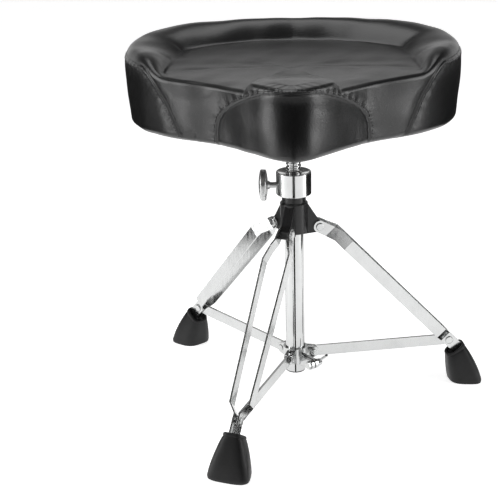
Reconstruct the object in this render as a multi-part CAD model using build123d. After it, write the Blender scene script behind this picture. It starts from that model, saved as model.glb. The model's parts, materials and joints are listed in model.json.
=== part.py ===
from build123d import *
import math
import os

# A drum throne: a padded seat on a threaded spindle, over a folding three-legged stand.
# Millimetres. The column's axis is X = Y = 0, the floor is Z = 0 and the seat's nose points to -Y.

os.makedirs("parts", exist_ok=True)

# ---- Column ------------------------------------------------
TUBE_R = 13.5
TUBE_WALL = 2.0
TUBE_BOTTOM = 38.5
TUBE_TOP = 301.0
CAP_DEPTH = 14.0
CAP_FLANGE = 2.0

# ---- Leg hub: a sleeve on the column with three ears ------------------------------------------------
HUB_NECK_R = 16.2
HUB_CORE_R = 18.8
HUB_BOTTOM = 242.5
HUB_SHOULDER = 285.0
HUB_TOP = 294.7
EAR_THICK = 13.0
EAR_ROOT_R = 8.0
EAR_TOP = 282.0
EAR_BOTTOM = 238.5
EAR_CORNER = 3.0

# ---- Height collar and its lock ------------------------------------------------
COLLAR_R = 23.7
COLLAR_TOP = 326.7
COLLAR_DISH = 2.2
LOCK_Z = 307.6
LOCK_SCREW_R = 4.0
LOCK_PAD_LENGTH = 3.0
KNOB_R = 21.2
KNOB_THICK = 12.4
KNOB_RIM = 4.4
KNOB_X = -40.8

# ---- Spindle ------------------------------------------------
SPINDLE_R = 10.2
SPINDLE_BOTTOM = 178.0
SPINDLE_TOP = 368.2
RUNNING = 0.05

# ---- Legs ------------------------------------------------
LEG_AZIMUTHS = {"right": 10.7, "left": 130.7, "front": 250.7}
HINGE_R = 33.9
HINGE_Z = 248.4
TOP_SLOPE = 27.7
MAIN_SLOPE = 46.5
TOP_LENGTH = 27.9
STRIP_WIDTH = 17.0
STRIP_THICK = 2.4
STRIP_AT_EAR = 8.0
STRIP_WIDEST = 17.0
STRIP_LOWER = 12.9
STRIP_AT_BRACE = 3.4
CREASE_UP = 223.5
CREASE_RUN = 30.0
CREASE_STAGGER = 4.7
BRACE_JOINT_Z = 63.04
STRIP_END_Z = 42.0
RIVET_R = 3.5
RIVET_HEAD_R = 5.6
RIVET_HEAD = 1.8

# ---- Lower bracket and braces ------------------------------------------------
BRACKET_R = 16.6
BRACKET_BOTTOM = 50.8
BRACKET_TOP = 73.3
PIVOT_R = 25.0
PIVOT_Z = 63.0
CLEVIS_GAP = 4.0
CLEVIS_WALL = 3.6
CLEVIS_END_R = 7.7
PIN_R = 2.5
PIN_HEAD_R = 4.2
PIN_HEAD = 1.3
BRACE_WIDTH = 15.5
BRACE_THICK = 3.2
BRACE_SHORT = 9.0
PINCH_AZIMUTH = -52.0
PINCH_R = 38.0
PINCH_Z = 57.5
PINCH_GAP = 2.0
LUG_THICK = 4.5
LUG_END_R = 6.9
BOLT_R = 3.0
BOLT_HEAD_R = 5.8
WING_ANGLE = -49.0

# ---- Rubber boots ------------------------------------------------
# Each section: inner point and outer point (out from the column, up), half width, flare.
BOOT_SECTIONS = [
    ((224.5, 0.0), (269.0, 0.0), 26.0, 0.20),
    ((222.0, 13.0), (266.0, 17.0), 24.4, 0.18),
    ((220.4, 27.0), (256.5, 37.0), 19.0, 0.10),
    ((219.6, 40.4), (243.2, 56.6), 13.0, 0.0),
]
BOOT_CORNER = 0.42
BOOT_SWING_R = 14.5
BOOT_SWING_CLEAR = 0.6

# ---- Seat ------------------------------------------------
SEAT_BOTTOM = 374.0
SEAT_HALF_WIDTH = 231.0
SEAT_NOSE_Y = -142.0
SEAT_BACK_Y = 222.0
SEAT_MIDDLE_Y = 50.0
NOSE_TOP = 469.0
REAR_TOP = 498.0
COVER_THICK = 2.0
BOARD_THICK = 12.0
BOARD_INSET = 16.0
COVER_TURN_IN = 18.0
CLOTH_GAP = 20.0
STAPLE_LINE = 9.0
CLOTH_THICK = 1.0
PLATE_HALF = 55.0
PLATE_THICK = 3.0
PLATE_BOLT_SPACING = 82.0
SOCKET_R = 16.0
SOCKET_DEPTH = 16.0
PLATE_BOLT_R = 3.0
STAPLE_COUNT = 24


def save(shape, name):
    """Write one sub-part."""
    export_step(shape, f"parts/{name}.step")


def tube(radius, bottom, top, bore=0.0):
    """An upright cylinder, or a sleeve when it has a bore."""
    height = top - bottom
    body = Pos(0, 0, bottom + height / 2) * Cylinder(radius, height)
    if bore:
        body -= Pos(0, 0, bottom + height / 2) * Cylinder(bore, height + 2)
    return body


def leg_frame(azimuth):
    """Turn a shape made with its leg along +X to the leg's azimuth."""
    return Rot(0, 0, azimuth)


def cross_pin(radius, x, z, low, high):
    """A cylinder along Y from low to high."""
    return Pos(x, (low + high) / 2, z) * Rot(90, 0, 0) * Cylinder(radius, high - low)


def plate(outline, low, high):
    """Extrude an outline drawn in the XZ plane from Y = low to Y = high."""
    face = Plane.XZ * outline
    return Pos(0, high, 0) * extrude(face, amount=high - low)


def rivet_head(radius, x, z, side, base, height):
    """A domed head on the +Y or -Y side, standing on Y = base times the side."""
    low, high = sorted((side * base, side * (base + height)))
    head = cross_pin(radius, x, z, low, high)
    rim = head.edges().group_by(Axis.Y)[-1 if side > 0 else 0]
    return fillet(rim, height * 0.75)


def unit(angle):
    """A unit vector in the leg's plane, angle degrees below the horizontal."""
    return math.cos(math.radians(angle)), -math.sin(math.radians(angle))


# ---- Column pieces ------------------------------------------------

def make_column():
    save(tube(TUBE_R, TUBE_BOTTOM, TUBE_TOP, TUBE_R - TUBE_WALL), "column_tube")
    flange = tube(TUBE_R, TUBE_BOTTOM - CAP_FLANGE, TUBE_BOTTOM)
    plug = tube(TUBE_R - TUBE_WALL, TUBE_BOTTOM - CAP_FLANGE, TUBE_BOTTOM + CAP_DEPTH)
    save(chamfer((flange + plug).edges().group_by(Axis.Z)[0], 0.8), "tube_end_cap")


def make_hub():
    core = tube(HUB_CORE_R, HUB_BOTTOM, HUB_SHOULDER)
    core = chamfer(core.edges().group_by(Axis.Z)[-1], 2.0)
    hub = core + tube(HUB_NECK_R, HUB_SHOULDER - 1, HUB_TOP)
    ear_outline = make_face(
        Polyline(
            (EAR_ROOT_R, EAR_TOP),
            (HUB_CORE_R - 1, EAR_TOP),
            (HINGE_R - 1.4, HINGE_Z + 10.4),
            (HINGE_R + 5.2, HINGE_Z + 4.0),
            (HINGE_R + 3.6, EAR_BOTTOM + 2.5),
            (EAR_ROOT_R, EAR_BOTTOM),
            (EAR_ROOT_R, EAR_TOP),
        )
    )
    rounded = fillet(ear_outline.vertices().filter_by(lambda v: v.X > HUB_CORE_R), EAR_CORNER)
    ear = plate(rounded, -EAR_THICK / 2, EAR_THICK / 2)
    ear -= cross_pin(RIVET_R + RUNNING, HINGE_R, HINGE_Z, -EAR_THICK, EAR_THICK)
    for azimuth in LEG_AZIMUTHS.values():
        hub += leg_frame(azimuth) * ear
    hub -= tube(TUBE_R, HUB_BOTTOM - 20, HUB_TOP + 5)
    save(hub, "leg_hub")


def make_collar():
    collar = tube(COLLAR_R, HUB_TOP, COLLAR_TOP)
    collar = fillet(collar.edges().group_by(Axis.Z)[0], 1.6)
    collar = fillet(collar.edges().group_by(Axis.Z)[-1], 1.0)
    dish = Pos(0, 0, COLLAR_TOP - COLLAR_DISH / 2 + 0.01)
    dish *= Cone(SPINDLE_R + 1.5, COLLAR_R - 2.4, COLLAR_DISH)
    collar -= dish
    collar -= tube(TUBE_R, HUB_TOP - 1, TUBE_TOP)
    collar -= tube(SPINDLE_R + RUNNING, HUB_TOP, COLLAR_TOP + 1)
    screw_hole = Pos(-COLLAR_R, 0, LOCK_Z) * Rot(0, 90, 0)
    screw_hole *= Cylinder(LOCK_SCREW_R + RUNNING, 2 * (COLLAR_R - SPINDLE_R) + 2)
    save(collar - screw_hole, "height_collar")


def make_lock():
    pad_inner = -(SPINDLE_R + 0.3)
    pad_outer = pad_inner - LOCK_PAD_LENGTH
    knob_half = KNOB_THICK / 2
    knob_face = KNOB_X + knob_half
    pad = Pos((pad_inner + pad_outer) / 2, 0, LOCK_Z) * Rot(0, 90, 0)
    save(pad * Cylinder(LOCK_SCREW_R - 0.6, LOCK_PAD_LENGTH), "lock_pad")
    screw = Pos((pad_outer + KNOB_X) / 2, 0, LOCK_Z) * Rot(0, 90, 0)
    save(screw * Cylinder(LOCK_SCREW_R, pad_outer - KNOB_X), "lock_screw")
    dome_edge = (KNOB_R - 1.4, knob_half * 0.66)
    dome = ThreePointArc((0, knob_half), (KNOB_R * 0.55, knob_half * 0.92), dome_edge)
    shoulder_arc = ThreePointArc(dome @ 1, (KNOB_R - 0.3, KNOB_RIM * 0.72), (KNOB_R, KNOB_RIM / 2))
    upper = dome + shoulder_arc + Line((KNOB_R, KNOB_RIM / 2), (KNOB_R, 0))
    half_section = make_face(upper + mirror(upper, Plane.XZ) + Line((0, -knob_half), (0, knob_half)))
    disc = Pos(KNOB_X, 0, LOCK_Z) * Rot(0, 0, -90) * revolve(half_section, Axis.Y)
    boss = Pos(knob_face + 1.0, 0, LOCK_Z) * Rot(0, 90, 0) * Cone(6.4, 5.0, 3.6)
    bore = Pos((knob_face + KNOB_X) / 2 + 2, 0, LOCK_Z) * Rot(0, 90, 0)
    bore *= Cylinder(LOCK_SCREW_R, knob_face - KNOB_X + 4)
    save(disc + boss - bore, "lock_knob")


def make_spindle():
    rod = tube(SPINDLE_R, SPINDLE_BOTTOM, SPINDLE_TOP)
    save(chamfer(rod.edges().group_by(Axis.Z)[0], 1.2), "spindle")


# ---- Legs ------------------------------------------------

TOP_DIR = unit(TOP_SLOPE)
MAIN_DIR = unit(MAIN_SLOPE)
KNEE = (HINGE_R + TOP_LENGTH * TOP_DIR[0], HINGE_Z + TOP_LENGTH * TOP_DIR[1])
BRACE_JOINT_R = KNEE[0] + (KNEE[1] - BRACE_JOINT_Z) * MAIN_DIR[0] / -MAIN_DIR[1]
STRIP_LENGTH = (KNEE[1] - STRIP_END_Z) / -MAIN_DIR[1]
STRIP_FOOT = (KNEE[0] + STRIP_LENGTH * MAIN_DIR[0], STRIP_END_Z)


def band(start, end, width):
    """A straight band with round ends, in the leg's plane."""
    length = math.dist(start, end)
    angle = math.degrees(math.atan2(end[1] - start[1], end[0] - start[0]))
    middle = Pos((start[0] + end[0]) / 2, (start[1] + end[1]) / 2) * Rot(0, 0, angle)
    shape = middle * Rectangle(length, width)
    for point in (start, end):
        shape += Pos(*point) * Circle(width / 2)
    return shape


def along_main(distance):
    """A point on the line of the leg's straight part, measured from the brace joint up the leg."""
    return BRACE_JOINT_R - distance * MAIN_DIR[0], BRACE_JOINT_Z - distance * MAIN_DIR[1]


def make_strip(side):
    """One bent flat strip of a leg. side is +1 or -1."""
    outline = band((HINGE_R, HINGE_Z), KNEE, STRIP_WIDTH) + band(KNEE, STRIP_FOOT, STRIP_WIDTH)
    blank = plate(outline, -60, 60)
    hinge_up = (BRACE_JOINT_Z - HINGE_Z) / MAIN_DIR[1]
    foot_down = (BRACE_JOINT_Z - STRIP_END_Z) / -MAIN_DIR[1]
    crease = CREASE_UP + CREASE_STAGGER * side
    stations = [
        (hinge_up + 30, STRIP_AT_EAR),
        (crease + CREASE_RUN, STRIP_AT_EAR),
        (crease, STRIP_WIDEST),
        (21.0, STRIP_LOWER),
        (8.0, STRIP_AT_BRACE),
        (-foot_down - 20, STRIP_AT_BRACE),
    ]
    outer = [(up, (y + STRIP_THICK / 2) * side) for up, y in stations]
    inner = [(up, (y - STRIP_THICK / 2) * side) for up, y in reversed(stations)]
    profile = make_face(Polyline(*outer, *inner, outer[0]))
    up_leg = Vector(-MAIN_DIR[0], 0, -MAIN_DIR[1])
    into_leg = Vector(MAIN_DIR[1], 0, -MAIN_DIR[0])
    sheet_plane = Plane((BRACE_JOINT_R, 0, BRACE_JOINT_Z), x_dir=up_leg, z_dir=into_leg)
    sheet = extrude(sheet_plane * profile, amount=80, both=True)
    strip = sheet & blank
    strip -= cross_pin(RIVET_R, HINGE_R, HINGE_Z, -30, 30)
    strip -= cross_pin(RIVET_R, BRACE_JOINT_R, BRACE_JOINT_Z, -30, 30)
    return strip


def make_hub_rivet():
    reach = STRIP_AT_EAR + STRIP_THICK / 2
    rivet = cross_pin(RIVET_R, HINGE_R, HINGE_Z, -reach, reach)
    for side in (-1, 1):
        rivet += rivet_head(RIVET_HEAD_R, HINGE_R, HINGE_Z, side, reach, RIVET_HEAD)
    return rivet


def make_brace_rivets():
    """The joint at the brace, as one rivet in each strip that stays out of the brace's path."""
    inner = STRIP_AT_BRACE - STRIP_THICK / 2
    outer = STRIP_AT_BRACE + STRIP_THICK / 2
    rivets = []
    for side in (-1, 1):
        low, high = sorted((side * inner, side * outer))
        shank = cross_pin(RIVET_R, BRACE_JOINT_R, BRACE_JOINT_Z, low, high)
        head = rivet_head(RIVET_HEAD_R, BRACE_JOINT_R, BRACE_JOINT_Z, side, outer, RIVET_HEAD)
        rivets.append(shank + head)
    return Compound(rivets)


def boot_section(inner, outer, half, flare):
    """One cross-section of the boot, between an inner and an outer point of the leg's plane.

    It is a rounded trapezoid, wider towards the outer point by the flare.
    """
    depth = math.dist(inner, outer) / 2
    tilt = math.atan2(outer[1] - inner[1], outer[0] - inner[0])
    plane = Plane(
        ((inner[0] + outer[0]) / 2, 0, (inner[1] + outer[1]) / 2),
        x_dir=(math.cos(tilt), 0, math.sin(tilt)),
        z_dir=(-math.sin(tilt), 0, math.cos(tilt)),
    )
    near = half * (1 - flare)
    far = half * (1 + flare)
    corners = [(-depth, -near), (depth, -far), (depth, far), (-depth, near)]
    shape = make_face(Polyline(*corners, corners[0]))
    return plane * fillet(shape.vertices(), BOOT_CORNER * half)


def make_boot():
    boot = loft([boot_section(*section) for section in BOOT_SECTIONS])
    pocket_half = STRIP_AT_BRACE + STRIP_THICK / 2
    pocket = plate(band(along_main(60), STRIP_FOOT, STRIP_WIDTH), -pocket_half, pocket_half)
    notch_half = BRACE_THICK / 2 + BOOT_SWING_CLEAR
    swing_room = plate(band(along_main(10), along_main(-22), 2 * BOOT_SWING_R), -notch_half, notch_half)
    return boot - pocket - swing_room


def make_legs():
    for leg, azimuth in LEG_AZIMUTHS.items():
        turn = leg_frame(azimuth)
        for letter, side in (("a", 1), ("b", -1)):
            save(turn * make_strip(side), f"leg_{leg}_strip_{letter}")
        save(turn * make_hub_rivet(), f"leg_{leg}_hub_rivet")
        save(turn * make_brace_rivets(), f"leg_{leg}_brace_rivets")
        save(turn * make_boot(), f"leg_{leg}_boot")


# ---- Braces and lower bracket ------------------------------------------------

def make_brace():
    brace = plate(
        band((PIVOT_R, PIVOT_Z), (BRACE_JOINT_R - BRACE_SHORT, PIVOT_Z), BRACE_WIDTH),
        -BRACE_THICK / 2,
        BRACE_THICK / 2,
    )
    return brace - cross_pin(PIN_R + RUNNING, PIVOT_R, PIVOT_Z, -BRACE_THICK, BRACE_THICK)


def make_pivot_pin():
    reach = CLEVIS_GAP / 2 + CLEVIS_WALL
    pin = cross_pin(PIN_R, PIVOT_R, PIVOT_Z, -reach, reach)
    for side in (-1, 1):
        pin += rivet_head(PIN_HEAD_R, PIVOT_R, PIVOT_Z, side, reach, PIN_HEAD)
    return pin


def make_clevis():
    """Both ears of one brace's pivot, before the ring is bored."""
    reach = CLEVIS_GAP / 2 + CLEVIS_WALL
    root = make_face(
        Polyline(
            (TUBE_R, BRACKET_TOP - 0.6),
            (PIVOT_R + 2.0, PIVOT_Z + CLEVIS_END_R - 0.3),
            (PIVOT_R + 2.0, PIVOT_Z - CLEVIS_END_R + 0.3),
            (TUBE_R, BRACKET_BOTTOM + 1.2),
            (TUBE_R, BRACKET_TOP - 0.6),
        )
    )
    outline = root + Pos(PIVOT_R, PIVOT_Z) * Circle(CLEVIS_END_R)
    return plate(outline, -reach, reach)


def make_lower_bracket():
    bracket = tube(BRACKET_R, BRACKET_BOTTOM, BRACKET_TOP)
    for azimuth in LEG_AZIMUTHS.values():
        bracket += leg_frame(azimuth) * make_clevis()
    lug_reach = PINCH_GAP / 2 + LUG_THICK
    lug = plate(band((TUBE_R, PINCH_Z), (PINCH_R, PINCH_Z), 2 * LUG_END_R), -lug_reach, lug_reach)
    bracket += leg_frame(PINCH_AZIMUTH) * lug
    bracket -= tube(TUBE_R + 0.08, BRACKET_BOTTOM - 5, BRACKET_TOP + 5)
    swing_depth = PIVOT_R - BRACE_WIDTH / 2 - 0.4
    slot_height = BRACKET_TOP - BRACKET_BOTTOM + 10
    slot_x = swing_depth + 20
    slot = Pos(slot_x, 0, (BRACKET_TOP + BRACKET_BOTTOM) / 2) * Box(40, CLEVIS_GAP, slot_height)
    pin_hole = cross_pin(PIN_R, PIVOT_R, PIVOT_Z, -20, 20)
    for azimuth in LEG_AZIMUTHS.values():
        bracket -= leg_frame(azimuth) * (slot + pin_hole)
    slit = Pos(30, 0, PINCH_Z) * Box(60, PINCH_GAP, 60)
    bolt_hole = cross_pin(BOLT_R + RUNNING, PINCH_R, PINCH_Z, -20, 20)
    return bracket - leg_frame(PINCH_AZIMUTH) * slit - leg_frame(PINCH_AZIMUTH) * bolt_hole


def make_clamp():
    """The pinch bolt, its washer and its wing nut. The nut is on the lug's +Y side."""
    turn = leg_frame(PINCH_AZIMUTH)
    face = PINCH_GAP / 2 + LUG_THICK
    head = Pos(PINCH_R, -face - 1.8, PINCH_Z) * Rot(90, 0, 0)
    head *= extrude(RegularPolygon(BOLT_HEAD_R, 6), amount=1.8, both=True)
    shank = cross_pin(BOLT_R, PINCH_R, PINCH_Z, -face, face + 9.0)
    save(turn * (head + shank), "pinch_bolt")
    washer = cross_pin(6.2, PINCH_R, PINCH_Z, face, face + 1.2)
    washer -= cross_pin(BOLT_R + RUNNING, PINCH_R, PINCH_Z, face - 1, face + 3)
    save(turn * washer, "pinch_washer")
    seat = face + 1.2 + RUNNING
    hub = Pos(PINCH_R, seat + 3.5, PINCH_Z) * Rot(-90, 0, 0) * Cone(6.0, 4.8, 7.0)
    wing_outline = make_face(
        Polyline((3.2, 0.8), (9.0, 2.6), (16.4, 7.4), (18.5, 11.4), (13.6, 12.5), (3.2, 5.6), (3.2, 0.8))
    )
    wing = extrude(fillet(wing_outline.vertices().group_by(Axis.X)[-1], 1.8), amount=1.4, both=True)
    wings = wing + Rot(0, 180, 0) * wing
    wings = Pos(PINCH_R, seat, PINCH_Z) * Rot(0, WING_ANGLE, 0) * wings
    nut = hub + wings - cross_pin(BOLT_R + RUNNING, PINCH_R, PINCH_Z, seat - 1, seat + 20)
    save(turn * nut, "wing_nut")


def make_braces():
    for leg, azimuth in LEG_AZIMUTHS.items():
        save(leg_frame(azimuth) * make_brace(), f"brace_{leg}")
        save(leg_frame(azimuth) * make_pivot_pin(), f"brace_{leg}_pivot_pin")
    save(make_lower_bracket(), "lower_bracket")
    make_clamp()


# ---- Seat ------------------------------------------------

def seat_outline(inset=0.0):
    """The seat's outline from above: a blunt nose, hollows for the thighs and a round back.

    The inset moves the outline's points towards the middle of the seat.
    """
    half = SEAT_HALF_WIDTH
    outer = [
        (0, SEAT_NOSE_Y),
        (38, SEAT_NOSE_Y + 22),
        (100, -54),
        (178, -2),
        (half, 98),
        (212, 168),
        (135, 210),
        (0, SEAT_BACK_Y),
    ]
    points = []
    for x, y in outer:
        reach = math.hypot(x, y - SEAT_MIDDLE_Y)
        shrink = 1 - inset / reach
        points.append((x * shrink, SEAT_MIDDLE_Y + (y - SEAT_MIDDLE_Y) * shrink))
    right = Spline(*points, tangents=((1, 0), (-1, 0)))
    return make_face(right + mirror(right, Plane.YZ))


def cushion(inset, bottom, drop):
    """The seat's padded body, its top sloping down to the nose, smaller all round by the inset."""
    body = Pos(0, 0, bottom) * extrude(seat_outline(inset), amount=REAR_TOP - bottom + 20)
    run = SEAT_BACK_Y - SEAT_NOSE_Y
    tilt = math.degrees(math.atan2(REAR_TOP - NOSE_TOP, run))
    middle_z = (REAR_TOP + NOSE_TOP) / 2 - drop
    middle_y = (SEAT_BACK_Y + SEAT_NOSE_Y) / 2
    lid = Pos(0, middle_y, middle_z) * Rot(tilt, 0, 0) * Pos(0, 0, 60) * Box(700, 700, 120)
    return body - lid


def make_seat():
    shell = cushion(0, SEAT_BOTTOM, 0)
    hollow = cushion(COVER_THICK, SEAT_BOTTOM + COVER_THICK, COVER_THICK)
    turned_in = seat_outline(BOARD_INSET + COVER_TURN_IN)
    mouth = Pos(0, 0, SEAT_BOTTOM - 1) * extrude(turned_in, amount=COVER_THICK + 2)
    save(shell - hollow - mouth, "seat_cover")
    board_bottom = SEAT_BOTTOM + COVER_THICK
    board = Pos(0, 0, board_bottom) * extrude(seat_outline(BOARD_INSET), amount=BOARD_THICK)
    for x, y in bolt_places():
        board -= Pos(x, y, board_bottom + BOARD_THICK / 2) * Cylinder(4.2, BOARD_THICK + 2)
    save(board, "seat_board")
    foam = hollow - Pos(0, 0, board_bottom) * extrude(seat_outline(BOARD_INSET), amount=BOARD_THICK)
    save(foam, "seat_foam")


def bolt_places():
    half = PLATE_BOLT_SPACING / 2
    return [(x, y) for x in (-half, half) for y in (-half, half)]


def make_seat_mount():
    board_bottom = SEAT_BOTTOM + COVER_THICK
    cloth_bottom = board_bottom - CLOTH_THICK
    cloth = Pos(0, 0, cloth_bottom) * extrude(seat_outline(BOARD_INSET + CLOTH_GAP), amount=CLOTH_THICK)
    flange_bottom = cloth_bottom - PLATE_THICK
    square = fillet(Rectangle(2 * PLATE_HALF, 2 * PLATE_HALF).vertices(), 12)
    flange = Pos(0, 0, flange_bottom) * extrude(square, amount=PLATE_THICK)
    socket = tube(SOCKET_R, flange_bottom - SOCKET_DEPTH, flange_bottom)
    socket = fillet(socket.edges().group_by(Axis.Z)[0], 1.5)
    flange += socket
    flange -= tube(SPINDLE_R + RUNNING, flange_bottom - SOCKET_DEPTH - 1, SPINDLE_TOP + 0.3)
    bolts = []
    tee_nuts = []
    for x, y in bolt_places():
        here = Pos(x, y, 0)
        flange -= here * tube(PLATE_BOLT_R + 0.4, flange_bottom - 1, cloth_bottom + 1)
        cloth -= here * tube(PLATE_BOLT_R + 0.4, cloth_bottom - 1, board_bottom + 1)
        head = Pos(0, 0, flange_bottom - 4) * extrude(RegularPolygon(BOLT_HEAD_R, 6), amount=4)
        bolts.append(here * (head + tube(PLATE_BOLT_R, flange_bottom, board_bottom + BOARD_THICK)))
        tee_nuts.append(
            here * tube(4.2, board_bottom, board_bottom + BOARD_THICK, PLATE_BOLT_R)
        )
    save(flange, "seat_plate")
    save(cloth, "underside_cloth")
    save(Compound(bolts), "plate_bolts")
    save(Compound(tee_nuts), "tee_nuts")


def make_staples():
    """Staples through the cover's turned-in edge, set along its line."""
    path = seat_outline(BOARD_INSET + STAPLE_LINE).faces()[0].outer_wire()
    staples = []
    for index in range(STAPLE_COUNT):
        place = path.location_at((index + 0.5) / STAPLE_COUNT)
        at = place.position
        angle = math.degrees(math.atan2(at.Y - 30, at.X))
        crown = Box(1.2, 11, 0.8, align=(Align.CENTER, Align.CENTER, Align.MAX))
        staples.append(Pos(at.X, at.Y, SEAT_BOTTOM) * Rot(0, 0, angle) * crown)
    save(Compound(staples), "staples")


make_column()
make_hub()
make_collar()
make_lock()
make_spindle()
make_legs()
make_braces()
make_seat()
make_seat_mount()
make_staples()
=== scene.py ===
import json
import math

import bmesh
import bpy
import numpy as np
from mathutils import Matrix, Vector
from mathutils.bvhtree import BVHTree
from mathutils.kdtree import KDTree


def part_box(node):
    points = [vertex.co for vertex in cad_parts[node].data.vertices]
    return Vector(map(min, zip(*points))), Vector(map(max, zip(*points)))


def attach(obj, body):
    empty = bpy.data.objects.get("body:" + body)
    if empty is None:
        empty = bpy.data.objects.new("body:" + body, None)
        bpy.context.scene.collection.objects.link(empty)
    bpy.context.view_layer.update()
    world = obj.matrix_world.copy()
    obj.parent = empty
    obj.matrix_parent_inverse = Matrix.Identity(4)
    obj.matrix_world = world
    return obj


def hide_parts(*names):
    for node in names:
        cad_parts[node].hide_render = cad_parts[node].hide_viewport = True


# The looks of a drum throne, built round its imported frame. Seat and stand sizes are in millimetres
# until a mesh is made; Blender's own values are in metres.

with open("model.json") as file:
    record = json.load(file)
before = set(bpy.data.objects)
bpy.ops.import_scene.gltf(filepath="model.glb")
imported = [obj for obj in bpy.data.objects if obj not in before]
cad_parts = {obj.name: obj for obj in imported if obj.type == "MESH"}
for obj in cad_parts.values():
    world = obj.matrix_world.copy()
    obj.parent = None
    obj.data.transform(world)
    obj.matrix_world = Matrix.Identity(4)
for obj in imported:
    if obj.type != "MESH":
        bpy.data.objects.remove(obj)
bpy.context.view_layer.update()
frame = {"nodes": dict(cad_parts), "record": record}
NODES = frame["nodes"]
MM = 0.001

# ---- Helpers -----------------------------------------------------------------------------------


def smooth(t):
    """Ease from 0 to 1."""
    t = np.clip(t, 0.0, 1.0)
    return t * t * (3 - 2 * t)


def make_piece(name, vertices, faces, body, material):
    """A smooth-shaded mesh object from millimetres, riding on a body."""
    mesh = bpy.data.meshes.new(name)
    mesh.from_pydata((np.asarray(vertices, float) * MM).tolist(), [], faces)
    mesh.validate()
    mesh.polygons.foreach_set("use_smooth", [True] * len(mesh.polygons))
    mesh.materials.append(material)
    piece = bpy.data.objects.new(name, mesh)
    bpy.context.scene.collection.objects.link(piece)
    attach(piece, body)
    return piece


def ring_faces(rings, columns):
    """Quads between closed rings of vertices, the first ring's vertices first."""
    faces = []
    for ring in range(rings - 1):
        low = ring * columns
        for i in range(columns):
            j = (i + 1) % columns
            faces.append((low + i, low + j, low + columns + j, low + columns + i))
    return faces


def fan(ring_start, columns, centre, flip=False):
    """Triangles from a ring to a centre vertex."""
    faces = []
    for i in range(columns):
        j = (i + 1) % columns
        face = (ring_start + i, ring_start + j, centre)
        faces.append(face[::-1] if flip else face)
    return faces


def fix_normals(piece):
    """Turn every face outward on a closed mesh."""
    work = bmesh.new()
    work.from_mesh(piece.data)
    bmesh.ops.recalc_face_normals(work, faces=work.faces)
    work.to_mesh(piece.data)
    work.free()


# ---- Materials ---------------------------------------------------------------------------------


# Most of a noise's values lie between these.
NOISE_RANGE = (0.3, 0.7)


class Look:
    """A principled material with a short way to add noise-driven detail."""

    def __init__(self, name, metallic, **uniform):
        self.material = bpy.data.materials.new(name)
        self.material.use_nodes = True
        self.tree = self.material.node_tree
        self.shader = self.tree.nodes["Principled BSDF"]
        self.shader.inputs["Metallic"].default_value = metallic
        for socket, value in uniform.items():
            self.shader.inputs[socket.replace("_", " ")].default_value = value
        self.place = self.node("ShaderNodeTexCoord").outputs["Object"]
        self.height = None

    def node(self, kind, **settings):
        made = self.tree.nodes.new(kind)
        for key, value in settings.items():
            setattr(made, key, value)
        return made

    def link(self, output, socket):
        self.tree.links.new(output, socket)

    def noise(self, scale, detail=4.0, rough=0.55, stretch=(1, 1, 1)):
        mapping = self.node("ShaderNodeMapping")
        mapping.inputs["Scale"].default_value = stretch
        self.link(self.place, mapping.inputs["Vector"])
        made = self.node("ShaderNodeTexNoise")
        made.inputs["Scale"].default_value = scale
        made.inputs["Detail"].default_value = detail
        made.inputs["Roughness"].default_value = rough
        self.link(mapping.outputs["Vector"], made.inputs["Vector"])
        return made.outputs["Fac"]

    def cells(self, scale):
        made = self.node("ShaderNodeTexVoronoi", feature="SMOOTH_F1")
        made.inputs["Scale"].default_value = scale
        self.link(self.place, made.inputs["Vector"])
        return made.outputs["Distance"]

    def waves(self, scale, direction="Z", distortion=1.0):
        made = self.node("ShaderNodeTexWave", bands_direction=direction)
        made.inputs["Scale"].default_value = scale
        made.inputs["Distortion"].default_value = distortion
        made.inputs["Detail"].default_value = 3.0
        self.link(self.place, made.inputs["Vector"])
        return made.outputs["Fac"]

    def ramp(self, value, stops):
        """Colours at positions: [(position, (r, g, b)), ...]."""
        made = self.node("ShaderNodeValToRGB")
        made.color_ramp.elements[0].position = stops[0][0]
        made.color_ramp.elements[0].color = (*stops[0][1], 1)
        made.color_ramp.elements[1].position = stops[-1][0]
        made.color_ramp.elements[1].color = (*stops[-1][1], 1)
        for position, colour in stops[1:-1]:
            made.color_ramp.elements.new(position).color = (*colour, 1)
        self.link(value, made.inputs["Fac"])
        return made.outputs["Color"]

    def spread(self, value, low, high):
        """Carry a noise's usual range over to low and high."""
        made = self.node("ShaderNodeMapRange")
        sockets = ("From Min", "From Max", "To Min", "To Max")
        for socket, number in zip(sockets, (*NOISE_RANGE, low, high)):
            made.inputs[socket].default_value = number
        self.link(value, made.inputs["Value"])
        return made.outputs["Result"]

    def colour(self, value, stops):
        self.link(self.ramp(value, stops), self.shader.inputs["Base Color"])
        return self

    def roughness(self, value, low, high):
        self.link(self.spread(value, low, high), self.shader.inputs["Roughness"])
        return self

    def bump(self, value, depth, strength=1.0):
        """Add a bump of a depth in metres; calls stack."""
        made = self.node("ShaderNodeBump")
        made.inputs["Strength"].default_value = strength
        made.inputs["Distance"].default_value = depth
        self.link(value, made.inputs["Height"])
        if self.height is not None:
            self.link(self.height, made.inputs["Normal"])
        self.height = made.outputs["Normal"]
        self.link(self.height, self.shader.inputs["Normal"])
        return self

    def soft_edges(self, radius):
        """Round the edges in the shading, so that they catch the light as worn metal does."""
        made = self.node("ShaderNodeBevel", samples=4)
        made.inputs["Radius"].default_value = radius
        self.height = made.outputs["Normal"]
        self.link(self.height, self.shader.inputs["Normal"])
        return self


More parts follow.
